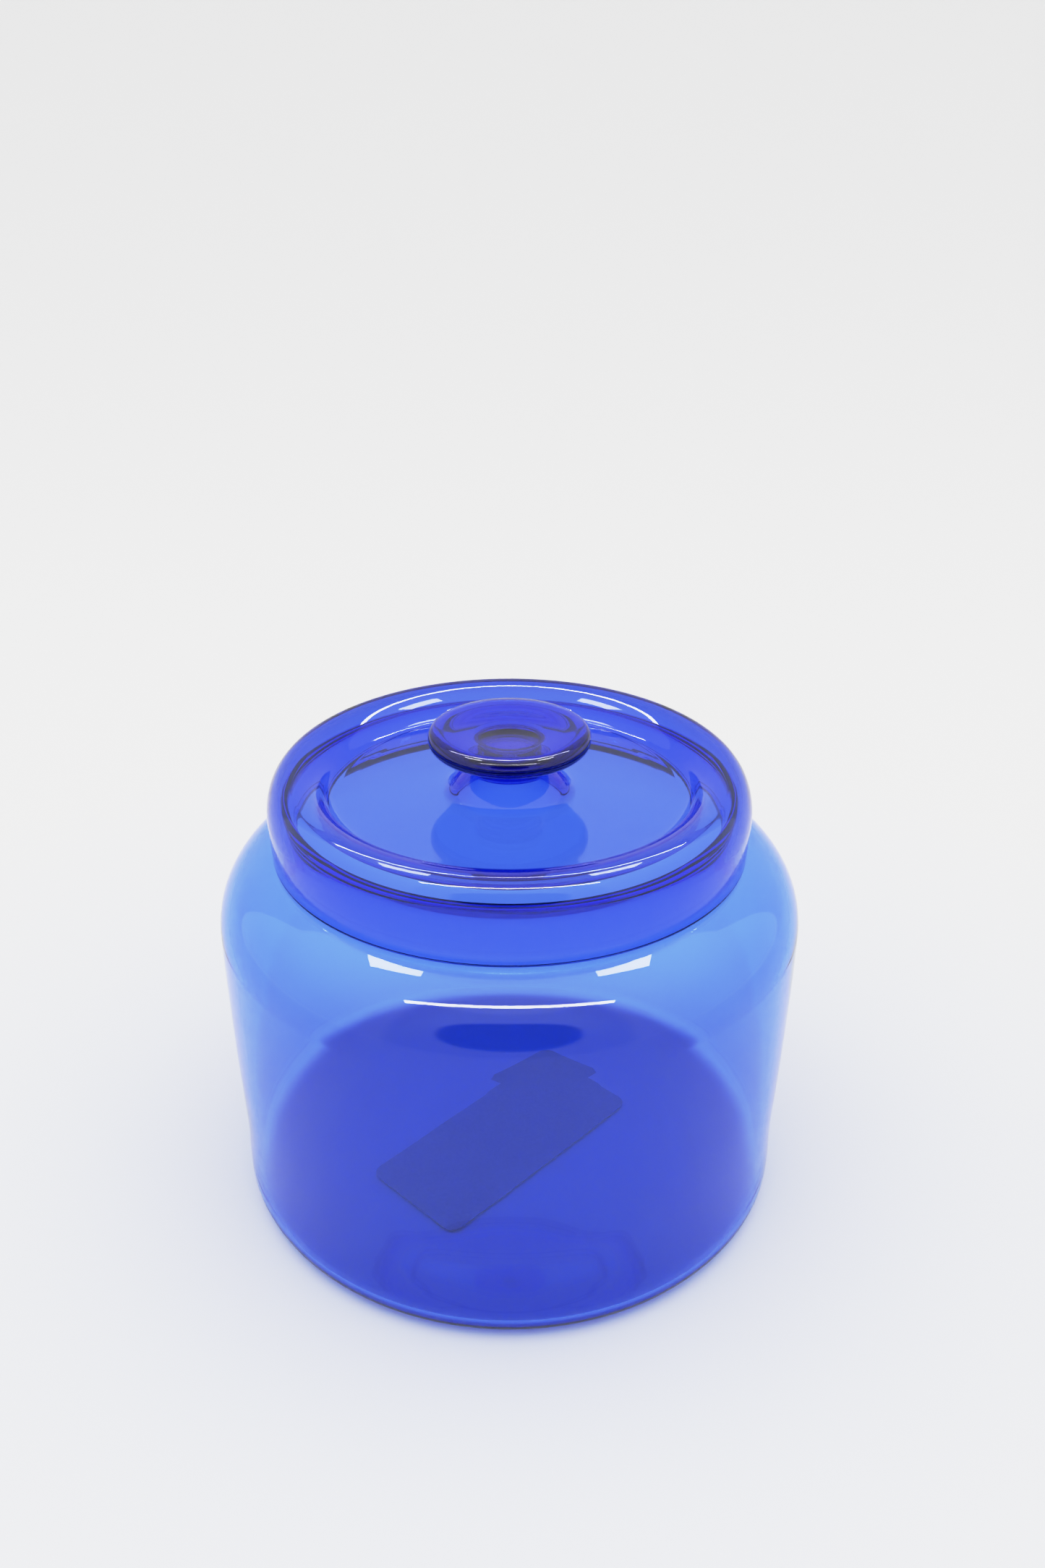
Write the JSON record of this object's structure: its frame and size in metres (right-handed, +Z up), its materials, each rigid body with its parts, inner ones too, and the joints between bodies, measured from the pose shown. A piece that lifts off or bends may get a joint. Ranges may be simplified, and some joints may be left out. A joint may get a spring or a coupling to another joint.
{
  "type": "storage jar with lid",
  "caption": "Squat round jar of deep blue clear glass with a drop-over glass lid, a sunken lid plate and a disc knob, for dry kitchen goods.",
  "frame": {"origin": "middle of the foot, on the surface that the jar stands on", "axes": "+Z up along the jar's axis of revolution, towards the knob; the paper label under the foot is turned 46 degrees from +X towards +Y"},
  "size_m": [0.1828, 0.1828, 0.1585],
  "materials": {
    "jar_glass": "fire-polished transparent cobalt blue glass",
    "lid_glass": "fire-polished transparent cobalt blue glass",
    "knob_glass": "solid fire-polished cobalt blue glass, nearly black where it is thick",
    "label_paper": "plain dark self-adhesive paper"
  },
  "bodies": {
    "jar": {"jar_base": "jar_glass", "jar_wall": "jar_glass", "jar_shoulder": "jar_glass", "jar_neck": "jar_glass", "base_label": "label_paper"},
    "lid": {"lid_cover": "lid_glass", "lid_knob": "knob_glass"}
  },
  "joints": [
    {"name": "lid_lift", "type": "slide", "parent": "jar", "child": "lid", "axis": [0, 0, 1], "range_m": [0, 0.12]}
  ]
}
